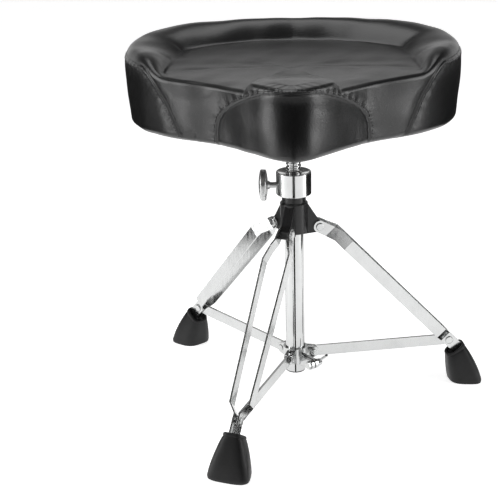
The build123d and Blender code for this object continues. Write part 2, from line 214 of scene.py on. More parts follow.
def chrome(name, tint, rough, ripple, edge):
    """Polished plating: faint haze, fine wipe marks and a slight waviness of the steel below."""
    look = Look(name, 1.0)
    haze = look.noise(38.0, 6.0)
    wipe = look.noise(420.0, 3.0, stretch=(1, 1, 0.08))
    dull = tuple(c * 0.90 for c in tint)
    look.colour(haze, [(0.25, dull), (0.55, tint), (1.0, tint)])
    look.roughness(wipe, rough * 0.7, rough * 1.7)
    if edge:
        look.soft_edges(edge)
    look.bump(look.noise(26.0, 2.0), ripple)
    look.bump(wipe, 0.000004)
    return look.material


def painted(name, colour, rough, grain_scale, grain_depth, **uniform):
    """Paint or moulded plastic with a fine grain and patches of wear."""
    look = Look(name, 0.0, **uniform)
    patches = look.noise(24.0, 5.0)
    grain = look.noise(grain_scale, 3.0)
    lighter = tuple(c * 1.55 + 0.003 for c in colour)
    look.colour(patches, [(0.30, colour), (0.75, lighter)])
    look.roughness(grain, rough * 0.85, rough * 1.2)
    look.soft_edges(0.0007)
    look.bump(grain, grain_depth)
    return look.material


def leatherette():
    look = Look("leatherette_black", 0.0, Specular_IOR_Level=0.42, Coat_Weight=0.08, Coat_Roughness=0.2)
    pebble = look.cells(620.0)
    creases = look.noise(900.0, 6.0, 0.62)
    tension = look.noise(46.0, 3.0, 0.5, stretch=(1, 1, 0.45))
    patches = look.noise(9.0, 5.0)
    look.colour(patches, [(0.25, (0.0026, 0.0026, 0.0027)), (0.70, (0.0046, 0.0046, 0.0048))])
    look.roughness(creases, 0.26, 0.38)
    look.bump(tension, 0.0009, 0.35)
    look.bump(pebble, 0.00022, 0.55)
    look.bump(creases, 0.00012, 0.45)
    return look.material


def woven(name, dark, light):
    look = Look(name, 0.0, Sheen_Weight=0.25)
    warp = look.waves(620.0, "X", 0.4)
    weft = look.waves(620.0, "Y", 0.4)
    both = look.node("ShaderNodeMath", operation="MULTIPLY")
    look.link(warp, both.inputs[0])
    look.link(weft, both.inputs[1])
    weave = both.outputs["Value"]
    look.colour(weave, [(0.1, dark), (0.9, light)])
    look.roughness(look.noise(140.0, 3.0), 0.78, 0.95)
    look.bump(weave, 0.00025, 0.8)
    return look.material


def plywood():
    look = Look("plywood_raw", 0.0)
    grain = look.noise(30.0, 8.0, 0.7, stretch=(0.12, 1, 1))
    plies = look.waves(130.0, "Z", 0.3)
    look.colour(grain, [(0.3, (0.36, 0.22, 0.11)), (0.55, (0.50, 0.33, 0.18)), (0.8, (0.58, 0.41, 0.24))])
    look.roughness(grain, 0.6, 0.85)
    look.bump(plies, 0.0002, 0.6)
    look.bump(grain, 0.0002, 0.6)
    return look.material


def rubber():
    look = Look("boot_rubber_black", 0.0, Specular_IOR_Level=0.3)
    dust = look.noise(60.0, 6.0, 0.65)
    pores = look.noise(1500.0, 2.0)
    look.colour(dust, [(0.3, (0.0035, 0.0035, 0.0037)), (0.8, (0.0090, 0.0090, 0.0094))])
    look.roughness(pores, 0.38, 0.55)
    look.bump(look.noise(90.0, 3.0), 0.0002, 0.5)
    look.bump(pores, 0.00006, 0.6)
    return look.material


LEATHER = leatherette()
RUBBER = rubber()
CHROMIUM = (0.55, 0.556, 0.554)
BRIGHT_CHROMIUM = (0.60, 0.606, 0.604)
MATERIALS = {
    "chrome_tube": chrome("chrome_tube_finish", CHROMIUM, 0.06, 0.00004, 0.0),
    "chrome_collar": chrome("chrome_collar_finish", BRIGHT_CHROMIUM, 0.12, 0.00005, 0.0006),
    "chrome_knob": chrome("chrome_knob_finish", BRIGHT_CHROMIUM, 0.30, 0.00004, 0.0006),
    "chrome_strip": chrome("chrome_strip_finish", CHROMIUM, 0.16, 0.00008, 0.0006),
    "chrome_cast": chrome("chrome_cast_finish", CHROMIUM, 0.13, 0.00014, 0.0008),
    "spindle_steel": chrome("spindle_finish", CHROMIUM, 0.12, 0.00004, 0.0),
    "rivet_steel": chrome("rivet_finish", CHROMIUM, 0.18, 0.00008, 0.0008),
    "zinc_steel": chrome("zinc_finish", (0.60, 0.61, 0.60), 0.28, 0.00006, 0.0005),
    "hub_paint": painted(
        "hub_paint_black", (0.004, 0.004, 0.0042), 0.30, 700.0, 0.00005, Specular_IOR_Level=0.4
    ),
    "plate_paint": painted("plate_paint_black", (0.014, 0.014, 0.015), 0.42, 900.0, 0.00008),
    "black_plastic": painted("moulded_plastic_black", (0.012, 0.012, 0.012), 0.42, 1100.0, 0.00004),
    "nylon": painted("nylon_grey", (0.32, 0.32, 0.30), 0.45, 800.0, 0.00004),
    "plywood": plywood(),
}
CLOTH = woven("dust_cloth_black", (0.006, 0.006, 0.006), (0.028, 0.028, 0.029))
THREAD = woven("thread_black", (0.008, 0.008, 0.008), (0.035, 0.035, 0.036))

for part in frame["record"]["subparts"]:
    finish = MATERIALS.get(part["material_slot"])
    if finish is not None:
        NODES[part["node"]].data.materials.clear()
        NODES[part["node"]].data.materials.append(finish)

# ---- Seat outline ------------------------------------------------------------------------------

OUTLINE = [(0, -142), (38, -120), (100, -54), (178, -2), (231, 98), (212, 168), (135, 210), (0, 222)]
MIDDLE = np.array([0.0, 50.0])
COLUMNS_HALF = 370


def half_outline(count):
    """The right half of the outline at even steps: points and arc lengths."""
    knots = np.array(OUTLINE, float)
    steps = np.linalg.norm(np.diff(knots, axis=0), axis=1)
    matrix = np.zeros((len(knots), len(knots)))
    target = np.zeros_like(knots)
    matrix[0, 0] = matrix[-1, -1] = 1
    target[0] = (1, 0)
    target[-1] = (-1, 0)
    for k in range(1, len(knots) - 1):
        before, after = steps[k - 1], steps[k]
        matrix[k, k - 1 : k + 2] = after, 2 * (before + after), before
        rise = after / before * (knots[k] - knots[k - 1]) + before / after * (knots[k + 1] - knots[k])
        target[k] = 3 * rise
    slopes = np.linalg.solve(matrix, target)
    dense = []
    for k, step in enumerate(steps):
        t = np.linspace(0, 1, 400, endpoint=False)[:, None]
        dense.append(
            (1 + 2 * t) * (1 - t) ** 2 * knots[k]
            + t * (1 - t) ** 2 * step * slopes[k]
            + t * t * (3 - 2 * t) * knots[k + 1]
            + t * t * (t - 1) * step * slopes[k + 1]
        )
    dense = np.vstack(dense + [knots[-1:]])
    run = np.concatenate([[0], np.cumsum(np.linalg.norm(np.diff(dense, axis=0), axis=1))])
    at = np.linspace(0, run[-1], count + 1)
    points = np.column_stack([np.interp(at, run, dense[:, 0]), np.interp(at, run, dense[:, 1])])
    return points, at


def full_outline(half_count):
    """All columns round the seat: points, inward normals and signed arc length from the nose."""
    right, at = half_outline(half_count)
    left = right[-2:0:-1] * (-1, 1)
    points = np.vstack([right, left])
    signed = np.concatenate([at, -at[-2:0:-1]])
    ahead = np.roll(points, -1, axis=0) - np.roll(points, 1, axis=0)
    ahead /= np.linalg.norm(ahead, axis=1)[:, None]
    inward = np.column_stack([-ahead[:, 1], ahead[:, 0]])
    return points, inward, signed


EDGE, INWARD, ARC = full_outline(COLUMNS_HALF)
COLUMNS = len(EDGE)
HALF_LENGTH = ARC.max()
ARC_ABS = np.abs(ARC)

# ---- Seat surface ------------------------------------------------------------------------------
# The bolster's height over the pan, and its width from the outline to the crease, by arc length.
BOLSTER_RISE = [(0, 0), (224, 0), (232, 4), (250, 13.5), (265, 17.5), (288, 20.5), (331, 18.5),
                (400, 18.5), (480, 22.5), (560, 24.5), (650, 24.5)]
BOLSTER_WIDTH = [(0, 12), (224, 12), (240, 24), (260, 42), (285, 58), (331, 68), (400, 76),
                 (480, 68), (545, 57), (590, 48), (650, 43)]
TOP_RADIUS = [(0, 7), (225, 6), (290, 15), (400, 17), (650, 18)]
RIDGE_AT = 0.32
CREASE_FILLET = 0.012
PAN_FRONT = 456.0
PAN_SLOPE = 0.085
HUMP_RISE = 11.5
HUMP_RUN = 14.0
WALL_BOTTOM = 374.2
BOTTOM_RADIUS = 9.0
WALL_TAPER = 6.0
TAPER_TOP = 450.0
# The hollow that holds the board, and the mouth that the turned-in edge leaves round the dust cloth.
CAVITY_TOP = 388.5
CAVITY_MIDDLE = 382.0
CAVITY_BOTTOM = 376.0
CAVITY_INSET = 15.6
MOUTH_INSET = 34.0
MOUTH_BOTTOM = 374.9


def by_arc(table, arc):
    """A smooth value from a table of (arc length, value)."""
    at, value = np.array(table, float).T
    fine = np.arange(0, 652, 1.0)
    raw = np.interp(fine, at, value)
    kernel = np.exp(-(np.arange(-24, 25) / 9.0) ** 2)
    padded = np.concatenate([raw[24:0:-1], raw, raw[-2:-26:-1]])
    return np.interp(np.abs(arc), fine, np.convolve(padded, kernel / kernel.sum(), "valid"))


def pan_height(y):
    """The sitting surface under everything else: level at the front, rising to the back."""
    return PAN_FRONT + PAN_SLOPE * 14 * np.log1p(np.exp(np.clip((y - 6) / 14, -30, 30)))


def hump_height(x, y):
    """The raised nose between the thighs, fading into the pan."""
    half = np.interp(y, [-150, -95, 10, 60], [62, 62, 17, 8])
    t = np.clip((half - np.abs(x)) / HUMP_RUN, 0, 1)
    fade = 1 - smooth((y + 92) / 118)
    return HUMP_RISE * (1 - (1 - t) ** 2) * fade


def bolster_height(depth, arc):
    rise = by_arc(BOLSTER_RISE, arc)
    u = depth / by_arc(BOLSTER_WIDTH, arc)
    inner = 1 - np.clip((u - RIDGE_AT) / (1 - RIDGE_AT), 0, 3) ** 2
    inner = 0.5 * (inner + np.sqrt(inner**2 + CREASE_FILLET))
    outer = 0.14 * np.clip((RIDGE_AT - u) / RIDGE_AT, 0, 1) ** 2
    return rise * (inner - outer)


def sway(x, y, z):
    """Slow unevenness of the stuffing, under a millimetre."""
    a = np.sin(x * 0.061 + 1.3) * np.sin(y * 0.053 + 0.4) + 0.6 * np.sin(x * 0.117 - y * 0.083 + 2.1)
    b = np.sin(z * 0.13 + x * 0.037) + 0.5 * np.sin(y * 0.151 + z * 0.07 + 0.9)
    return 0.35 * a + 0.22 * b


OUTLINE_TREE = KDTree(4 * COLUMNS)
FINE_EDGE, _, FINE_ARC = full_outline(4 * COLUMNS_HALF)
for index, (x, y) in enumerate(FINE_EDGE):
    OUTLINE_TREE.insert((x, y, 0), index)
OUTLINE_TREE.balance()


def top_height(points, depth=None, arc=None):
    """Height of the seat's top at plan points."""
    if depth is None:
        depth = np.empty(len(points))
        arc = np.empty(len(points))
        for i, (x, y) in enumerate(points):
            _, index, depth[i] = OUTLINE_TREE.find((x, y, 0))
            arc[i] = abs(FINE_ARC[index])
    x, y = points[:, 0], points[:, 1]
    return pan_height(y) + hump_height(x, y) + bolster_height(depth, arc)


def seat_rings():
    """The cushion's closed skin as rings of vertices, from the board's cavity out and over the top."""
    to_middle = MIDDLE - EDGE
    reach = np.linalg.norm(to_middle, axis=1)
    toward = to_middle / reach[:, None]
    rings = []

    def flat_ring(inset, z):
        rings.append(np.column_stack([EDGE + toward * inset, np.full(COLUMNS, z)]))

    for inset in (150, 100, 60, CAVITY_INSET):
        flat_ring(inset, CAVITY_TOP)
    for z in (CAVITY_MIDDLE, CAVITY_BOTTOM):
        flat_ring(CAVITY_INSET, z)
    for inset in (24.0, MOUTH_INSET):
        flat_ring(inset, CAVITY_BOTTOM)
    flat_ring(MOUTH_INSET, MOUTH_BOTTOM)
    gather = 0.28 * np.sin(ARC * 0.31) + 0.22 * np.sin(ARC * 0.73 + 1.0) + 0.2 * np.sin(ARC * 1.37 + 0.5)
    for inset in np.linspace(33.0, WALL_TAPER + BOTTOM_RADIUS + 1.0, 12):
        flat_ring(inset, WALL_BOTTOM)
        fold = smooth((MOUTH_INSET - inset) / 6) * smooth((inset - 14) / 6)
        rings[-1][:, 2] += 0.35 * (gather + 0.4) * fold
    top = top_height(EDGE, np.zeros(COLUMNS), ARC_ABS)
    radius = by_arc(TOP_RADIUS, ARC)
    wall_low = WALL_BOTTOM + BOTTOM_RADIUS
    wall_high = top - radius

    def taper(z):
        return WALL_TAPER * np.clip((TAPER_TOP - z) / (TAPER_TOP - WALL_BOTTOM), 0, 1) ** 1.4

    for angle in np.radians(np.linspace(8, 82, 7)):
        z = wall_low - BOTTOM_RADIUS * math.cos(angle)
        inset = taper(z) + BOTTOM_RADIUS * (1 - math.sin(angle))
        rings.append(np.column_stack([EDGE + INWARD * inset, np.full(COLUMNS, z)]))
    for t in np.linspace(0, 1, 50):
        z = wall_low + (wall_high - wall_low) * t
        rings.append(np.column_stack([EDGE + INWARD * taper(z)[:, None], z]))
    for angle in np.radians(np.linspace(7, 90, 13)):
        depth = radius * (1 - math.cos(angle))
        drop = radius * (1 - math.sin(angle))
        plan = EDGE + INWARD * depth[:, None]
        height = top_height(plan, depth, ARC_ABS) - drop
        rings.append(np.column_stack([plan, height]))
    for depth in np.linspace(0.12, 1, 7):
        inset = radius + (24 - radius) * depth
        plan = EDGE + INWARD * inset[:, None]
        rings.append(np.column_stack([plan, top_height(plan, inset, ARC_ABS)]))
    start = rings[-1][:, :2]
    for t in np.linspace(0, 1, 86)[1:-1]:
        plan = start + (MIDDLE - start) * t
        rings.append(np.column_stack([plan, top_height(plan)]))
    return np.array(rings)


# ---- Seams -------------------------------------------------------------------------------------

ARCH = [(137, 376), (137, 392), (135, 402), (130, 413), (122, 422), (111, 430), (96, 438), (72, 448.5),
        (48, 456), (22, 460.5), (0, 461.5)]
DIAGONAL = [(195, 376), (200, 390), (206, 404), (217, 427), (234, 449), (250, 463), (264, 471)]
EDGE_RUN_DROP = 8.5
SEAM_STEP = 0.8


def smooth_line(points):
    """A rounded line through points, at even steps."""
    points = np.array(points, float)
    run = np.concatenate([[0], np.cumsum(np.linalg.norm(np.diff(points, axis=0), axis=1))])
    fine = np.arange(0, run[-1], 1.0)
    line = np.column_stack([np.interp(fine, run, points[:, k]) for k in range(points.shape[1])])
    kernel = np.exp(-(np.arange(-15, 16) / 6.0) ** 2)
    kernel /= kernel.sum()
    head = 2 * line[0] - line[15:0:-1]
    tail = 2 * line[-1] - line[-2:-17:-1]
    padded = np.vstack([head, line, tail])
    line = np.column_stack([np.convolve(padded[:, k], kernel, "valid") for k in range(points.shape[1])])
    run = np.concatenate([[0], np.cumsum(np.linalg.norm(np.diff(line, axis=0), axis=1))])
    at = np.arange(0, run[-1], SEAM_STEP)
    return np.column_stack([np.interp(at, run, line[:, k]) for k in range(points.shape[1])])


def wall_point(arc, z):
    """A point on the seat's wall before the seams are sunk, from arc length and height."""
    order = np.argsort(FINE_ARC)
    x = np.interp(arc, FINE_ARC[order], FINE_EDGE[order, 0])
    y = np.interp(arc, FINE_ARC[order], FINE_EDGE[order, 1])
    return np.column_stack([x, y, z])


def seam_lines():
    """Every seam in space as (points, stitch side)."""
    arch = np.array([(-s, z) for s, z in ARCH] + [(s, z) for s, z in ARCH[-2::-1]], float)
    lines = [(smooth_line(wall_point(arch[:, 0], arch[:, 1])), 1.0)]
    back = np.linspace(276, HALF_LENGTH, 60)
    right_half = slice(0, COLUMNS_HALF + 1)
    edge_top = top_height(EDGE, np.zeros(COLUMNS), ARC_ABS)
    plan_top = np.interp(back, ARC_ABS[right_half], edge_top[right_half])
    run = [(s, t - EDGE_RUN_DROP) for s, t in zip(back, plan_top)]
    right = np.array(DIAGONAL + run, float)
    left = right[::-1] * (-1, 1)
    whole = np.vstack([wall_point(right[:, 0], right[:, 1]), wall_point(left[1:, 0], left[1:, 1])])
    lines.append((smooth_line(whole), -1.0))
    return lines


def snapped(line, tree):
    """The line's points moved onto the skin, with the skin's normals."""
    places = np.empty_like(line)
    normals = np.empty_like(line)
    for i, point in enumerate(line):
        at, normal, _, _ = tree.find_nearest(Vector(point))
        places[i] = at
        normals[i] = normal
    return places, normals


# The rings before this one line the cavity and the turned-in edge, and keep their shape.
FIRST_OUTSIDE = 22
CREASE_START = 236
CREASE_HOLD = 5
HELD_BELOW = 384
HELD_INNER_RINGS = 3
PUFF_RINGS = 3
PUFF_COLUMNS = 4
PUFF_PRESSURE = 2.5
PUFF_FRAMES = 14
PUFF_CAP = 1.8
PUFF_HOLD = 6.5


def spread_out(coarse, rows, columns):
    """Bring values on every few rings and columns back to the whole grid, smoothly."""
    at = np.arange(rows) / PUFF_RINGS
    tall = np.array([np.interp(at, np.arange(len(coarse)), column) for column in coarse.T]).T
    tall = np.column_stack([tall, tall[:, 0]])
    at = np.arange(columns) / PUFF_COLUMNS
    wide = np.array([np.interp(at, np.arange(tall.shape[1]), row) for row in tall])
    for _ in range(PUFF_COLUMNS * 2):
        wide = 0.25 * np.roll(wide, 1, 1) + 0.5 * wide + 0.25 * np.roll(wide, -1, 1)
        wide[1:-1] = 0.25 * wide[:-2] + 0.5 * wide[1:-1] + 0.25 * wide[2:]
    return wide


def puff(grid, normals, seam_tree):
    """How far a cloth simulation blows the skin out between its seams, over the grid."""
    rows = grid.shape[0] - FIRST_OUTSIDE
    coarse = grid[FIRST_OUTSIDE::PUFF_RINGS, ::PUFF_COLUMNS]
    count, columns = coarse.shape[:2]
    points = coarse.reshape(-1, 3)
    mesh = bpy.data.meshes.new("puff")
    mesh.from_pydata((points * MM).tolist(), [], ring_faces(count, columns))
    skin = bpy.data.objects.new("puff", mesh)
    bpy.context.scene.collection.objects.link(skin)
    held = []
    crease_line = np.array(BOLSTER_WIDTH, float).T
    for i, (x, y, z) in enumerate(points):
        _, index, depth = OUTLINE_TREE.find((x, y, 0))
        arc = abs(FINE_ARC[index])
        from_crease = abs(depth - np.interp(arc, *crease_line))
        at_crease = arc > CREASE_START and from_crease < CREASE_HOLD
        at_seam = seam_tree.find((x, y, z))[2] < PUFF_HOLD
        at_middle = i >= (count - HELD_INNER_RINGS) * columns
        if at_crease or at_seam or at_middle or z < HELD_BELOW:
            held.append(i)
    skin.vertex_groups.new(name="held").add(held, 1.0, "REPLACE")
    cloth = skin.modifiers.new("cloth", "CLOTH")
    cloth.settings.quality = 6
    cloth.settings.mass = 0.35
    cloth.settings.tension_stiffness = 30
    cloth.settings.compression_stiffness = 30
    cloth.settings.shear_stiffness = 12
    cloth.settings.bending_stiffness = 6
    cloth.settings.vertex_group_mass = "held"
    cloth.settings.use_pressure = True
    cloth.settings.uniform_pressure_force = PUFF_PRESSURE
    cloth.settings.effector_weights.gravity = 0
    cloth.collision_settings.use_collision = False
    scene = bpy.context.scene
    for number in range(1, PUFF_FRAMES + 1):
        scene.frame_set(number)
    blown = skin.evaluated_get(bpy.context.evaluated_depsgraph_get()).to_mesh()
    after = np.empty(len(points) * 3)
    blown.vertices.foreach_get("co", after)
    move = (after.reshape(-1, 3) / MM - points).reshape(coarse.shape)
    scene.frame_set(1)
    bpy.data.objects.remove(skin)
    out = (move * normals[FIRST_OUTSIDE::PUFF_RINGS, ::PUFF_COLUMNS]).sum(axis=2)
    out = PUFF_CAP * np.tanh(out / PUFF_CAP)
    whole = np.zeros(grid.shape[:2])
    whole[FIRST_OUTSIDE:] = spread_out(out, rows, grid.shape[1])
    return whole


SEAM_REACH = 24
SEAM_GAP = 1.1
SEAM_DEPTH = 1.5
RIB_AT = 3.2
RIB_RISE = 0.75
STITCH_AT = 5.0
STITCH_PITCH = 5.0


def seam_relief(gap, offset, run):
    """The skin's height near a seam: groove, rib, sunk stitches and slight puckers."""
    groove = -SEAM_DEPTH * math.exp(-((gap / SEAM_GAP) ** 2))
    rib = RIB_RISE * math.exp(-(((offset - RIB_AT) / 2.2) ** 2))
    sink = -0.45 * math.exp(-(((offset - STITCH_AT) / 0.9) ** 2))
    rest = -0.9 * math.exp(-((offset / 9.0) ** 2))
    beat = math.sin(run * 2 * math.pi / STITCH_PITCH + 0.9 * math.sin(run * 0.11))
    beat *= 0.65 + 0.35 * math.sin(run * 0.23 + 2)
    wide = math.sin(run * 2 * math.pi / 13.0 + 2.0 * math.sin(run * 0.05))
    pucker = 0.30 * beat * math.exp(-(((offset - 4.2) / 3.6) ** 2))
    pucker += 0.20 * wide * math.exp(-(((offset - 6.0) / 6.0) ** 2))
    return groove + rib + sink + rest + pucker


def build_seat():
    rings = seat_rings()
    count = len(rings)
    vertices = rings.reshape(-1, 3)
    vertices = np.vstack([vertices, [[0, MIDDLE[1], CAVITY_TOP]], [[0, MIDDLE[1], 0]]])
    vertices[-1, 2] = top_height(np.array([MIDDLE]))[0]
    faces = ring_faces(count, COLUMNS)
    faces += fan(0, COLUMNS, len(vertices) - 2, flip=True)
    faces += fan((count - 1) * COLUMNS, COLUMNS, len(vertices) - 1)
    tree = BVHTree.FromPolygons([tuple(v) for v in vertices], faces)

    grid = vertices[:-2].reshape(count, COLUMNS, 3)
    across = np.roll(grid, -1, axis=1) - np.roll(grid, 1, axis=1)
    up = np.gradient(grid, axis=0)
    normals = np.cross(across, up)
    length = np.linalg.norm(normals, axis=2)
    normals /= np.where(length < 1e-9, 1, length)[:, :, None]
    shift = sway(grid[:, :, 0], grid[:, :, 1], grid[:, :, 2])
    shift[:FIRST_OUTSIDE] = 0

    seams = []
    for line, side in seam_lines():
        places, out = snapped(line, tree)
        ahead = np.gradient(places, axis=0)
        ahead /= np.linalg.norm(ahead, axis=1)[:, None]
        beside = np.cross(out, ahead) * side
        seams.append((places, out, ahead, beside))
    all_places = np.vstack([s[0] for s in seams])
    all_beside = np.vstack([s[3] for s in seams])
    along = np.concatenate([np.arange(len(s[0])) * SEAM_STEP for s in seams])
    seam_tree = KDTree(len(all_places))
    for index, place in enumerate(all_places):
        seam_tree.insert(place, index)
    seam_tree.balance()
    shift += puff(grid, normals, seam_tree)
    flat = grid.reshape(-1, 3)
    extra = np.zeros(len(flat))
    for i in range(FIRST_OUTSIDE * COLUMNS, len(flat)):
        _, index, gap = seam_tree.find(flat[i])
        if gap > SEAM_REACH:
            continue
        offset = float(np.dot(flat[i] - all_places[index], all_beside[index]))
        extra[i] = seam_relief(gap, offset, along[index])
    shift = shift.reshape(-1) + extra
    vertices[:-2] = flat + normals.reshape(-1, 3) * shift[:, None]
    cover = make_piece("seat_cushion", vertices, faces, "seat", LEATHER)
    fix_normals(cover)
    return cover, seams


def build_stitches(seams, cover):
    """Raised thread stitches beside each seam, each a small bent capsule."""
    tree = BVHTree.FromPolygons([tuple(v.co / MM) for v in cover.data.vertices],
                                [tuple(p.vertices) for p in cover.data.polygons])
    vertices = []
    faces = []
    sides = 6
    profile = [(-1.0, 0.25, -0.35), (-0.72, 0.42, 0.05), (-0.3, 0.46, 0.26),
               (0.3, 0.46, 0.26), (0.72, 0.42, 0.05), (1.0, 0.25, -0.35)]
    for places, out, ahead, beside in seams:
        stride = int(round(STITCH_PITCH / SEAM_STEP))
        for k in range(3, len(places) - 3, stride):
            guess = places[k] + beside[k] * STITCH_AT
            at, normal, _, _ = tree.find_nearest(Vector(guess))
            at = np.array(at)
            normal = np.array(normal)
            if np.dot(normal, out[k]) < 0:
                normal = -normal
            t = ahead[k] - normal * np.dot(ahead[k], normal)
            t /= np.linalg.norm(t)
            b = np.cross(normal, t)
            start = len(vertices)
            for along, radius, lift in profile:
                centre = at + t * along * 1.75 + normal * lift
                for side in range(sides):
                    angle = 2 * math.pi * side / sides
                    vertices.append(centre + (b * math.cos(angle) + normal * math.sin(angle)) * radius)
            for ring in range(len(profile) - 1):
                low = start + ring * sides
                for i in range(sides):
                    j = (i + 1) % sides
                    faces.append((low + i, low + j, low + sides + j, low + sides + i))
            faces.append(tuple(start + i for i in reversed(range(sides))))
            last = start + (len(profile) - 1) * sides
            faces.append(tuple(last + i for i in range(sides)))
    stitches = make_piece("seat_stitches", vertices, faces, "seat", THREAD)
    fix_normals(stitches)


# ---- Underside cloth ----------------------------------------------------------------------------

CLOTH_INSET = 36.5
CLOTH_Z = 375.5


def build_cloth():
    """The dust cloth, stretched flat and slightly slack between its staples."""
    to_middle = MIDDLE - EDGE
    toward = to_middle / np.linalg.norm(to_middle, axis=1)[:, None]
    rim = EDGE + toward * CLOTH_INSET
    keep = rim[::4]
    columns = len(keep)
    rings = []
    for t in np.linspace(0, 0.94, 26):
        plan = keep + (MIDDLE - keep) * t
        slack = 0.18 * np.sin(plan[:, 0] * 0.09 + 0.7) * np.sin(plan[:, 1] * 0.11)
        slack += 0.12 * np.sin(plan[:, 0] * 0.21 + plan[:, 1] * 0.16)
        rings.append(np.column_stack([plan, CLOTH_Z + slack * (1 - t) * min(1, t * 12)]))
    vertices = np.vstack(rings + [[[0, MIDDLE[1], CLOTH_Z]]])
    faces = ring_faces(len(rings), columns)
    faces += fan((len(rings) - 1) * columns, columns, len(vertices) - 1)
    cloth = make_piece("underside_dust_cloth", vertices, faces, "seat", CLOTH)
    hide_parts("underside_cloth")


# ---- Spindle thread ------------------------------------------------------------------------------

THREAD_PITCH = 5.0
THREAD_ROOT = 8.7


def build_spindle():
    low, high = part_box("spindle")
    crest = (high.x - low.x) / 2 / MM
    bottom, top = low.z / MM, high.z / MM
    columns = 56
    heights = np.arange(bottom, top, 0.4)
    angles = np.arange(columns) * 2 * math.pi / columns
    rings = []
    for z in heights:
        phase = (z / THREAD_PITCH - angles / (2 * math.pi)) % 1.0
        tooth = np.abs(phase - 0.5) * 2
        shape = np.clip((tooth - 0.26) / 0.42, 0, 1)
        shape = shape * shape * (3 - 2 * shape)
        fade = float(smooth((z - bottom) / 2.5) * smooth((top - z) / 2.5))
        radius = THREAD_ROOT + (crest - THREAD_ROOT) * shape * fade
        rings.append(np.column_stack([radius * np.cos(angles), radius * np.sin(angles), np.full(columns, z)]))
    vertices = np.vstack(rings + [[[0, 0, bottom]], [[0, 0, heights[-1]]]])
    faces = ring_faces(len(rings), columns)
    faces += fan(0, columns, len(vertices) - 2, flip=True)
    faces += fan((len(rings) - 1) * columns, columns, len(vertices) - 1)
    steel = MATERIALS["spindle_steel"]
    spindle = make_piece("spindle_thread", vertices, faces, "spindle", steel)
    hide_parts("spindle")
    fix_normals(spindle)


# ---- Rubber boots ---------------------------------------------------------------------------------

LEG_AZIMUTHS = {"right": 10.7, "left": 130.7, "front": 250.7}
# Each section of a boot: inner point and outer point (out from the column, up), half width, flare.
BOOT_SECTIONS = [
    (226.2, 0.0, 266.8, 0.0, 24.4, 0.20),
    (224.6, 0.5, 268.8, 0.7, 25.8, 0.20),
    (224.0, 3.0, 269.2, 4.0, 26.2, 0.20),
    (222.0, 13.0, 266.0, 17.0, 24.6, 0.18),
    (220.4, 27.0, 256.5, 37.0, 19.4, 0.10),
    (219.8, 36.0, 248.0, 50.0, 15.4, 0.04),
    (219.7, 38.6, 245.4, 53.2, 13.3, 0.0),
    (218.9, 39.2, 245.6, 54.2, 13.7, 0.0),
    (219.0, 41.2, 243.9, 57.0, 13.3, 0.0),
    (219.9, 42.0, 242.7, 57.3, 12.4, 0.0),
    (221.7, 42.0, 241.2, 56.0, 10.6, 0.0),
    (222.3, 39.6, 241.8, 53.2, 9.8, 0.0),
    (223.6, 37.0, 242.0, 49.8, 7.0, 0.0),
]
# The stations of the boot's body, which are blurred into one smooth curve.
BOOT_BODY = (2.0, 5.4)
BOOT_BLURS = 60
BOOT_SQUARENESS = 0.62


def boot_shape(leg):
    columns = 72
    angles = np.arange(columns) * 2 * math.pi / columns + 0.01
    sections = np.array(BOOT_SECTIONS)
    knots = np.arange(len(sections))
    stations = np.unique(np.concatenate([knots, np.linspace(1, len(sections) - 1, 100)]))
    cosines = np.sign(np.cos(angles)) * np.abs(np.cos(angles)) ** BOOT_SQUARENESS
    sines = np.sign(np.sin(angles)) * np.abs(np.sin(angles)) ** BOOT_SQUARENESS
    rings = []
    for t in stations:
        limits = (np.interp(t, knots, column) for column in sections.T)
        inner_r, inner_z, outer_r, outer_z, half, flare = limits
        share = 0.5 + 0.5 * cosines
        across = inner_r + (outer_r - inner_r) * share
        height = inner_z + (outer_z - inner_z) * share
        rings.append(np.column_stack([across, sines * half * (1 + flare * cosines), height]))
    rings = np.array(rings)
    body = (stations > BOOT_BODY[0]) & (stations < BOOT_BODY[1])
    for _ in range(BOOT_BLURS):
        blurred = 0.25 * rings[:-2] + 0.5 * rings[1:-1] + 0.25 * rings[2:]
        rings[1:-1] = np.where(body[1:-1, None, None], blurred, rings[1:-1])
    vertices = np.vstack([rings.reshape(-1, 3), [rings[0].mean(0)], [rings[-1].mean(0)]])
    faces = ring_faces(len(rings), columns)
    faces += fan(0, columns, len(vertices) - 2, flip=True)
    faces += fan((len(rings) - 1) * columns, columns, len(vertices) - 1)
    turn = math.radians(LEG_AZIMUTHS[leg])
    x = vertices[:, 0] * math.cos(turn) - vertices[:, 1] * math.sin(turn)
    y = vertices[:, 0] * math.sin(turn) + vertices[:, 1] * math.cos(turn)
    return np.column_stack([x, y, vertices[:, 2]]), faces


def build_boots():
    for leg in LEG_AZIMUTHS:
        vertices, faces = boot_shape(leg)
        boot = make_piece(f"boot_{leg}", vertices, faces, f"leg_{leg}", RUBBER)
        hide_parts(f"leg_{leg}_boot")
        fix_normals(boot)


cushion, seam_paths = build_seat()
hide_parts("seat_cover", "seat_foam")
build_stitches(seam_paths, cushion)
build_cloth()
build_spindle()
build_boots()

# ---- Studio -----------------------------------------------------------------------------------------


FLOOR_HALF = 40.0
FLOOR_GLOW = 0.72
SIDE_X = 1.15
SIDE_Y = -0.20
SIDE_AIM = (0, -0.1, 0.40)
CAMERA_PLACE = (0, -1.6167, 0.7916)
CAMERA_PITCH = 19.3393
CAMERA_YAW = -2.1308
CAMERA_ROLL = -1.3168
CAMERA_LENS = 90.87
CAMERA_SHIFT = (-0.00239, -0.006807)


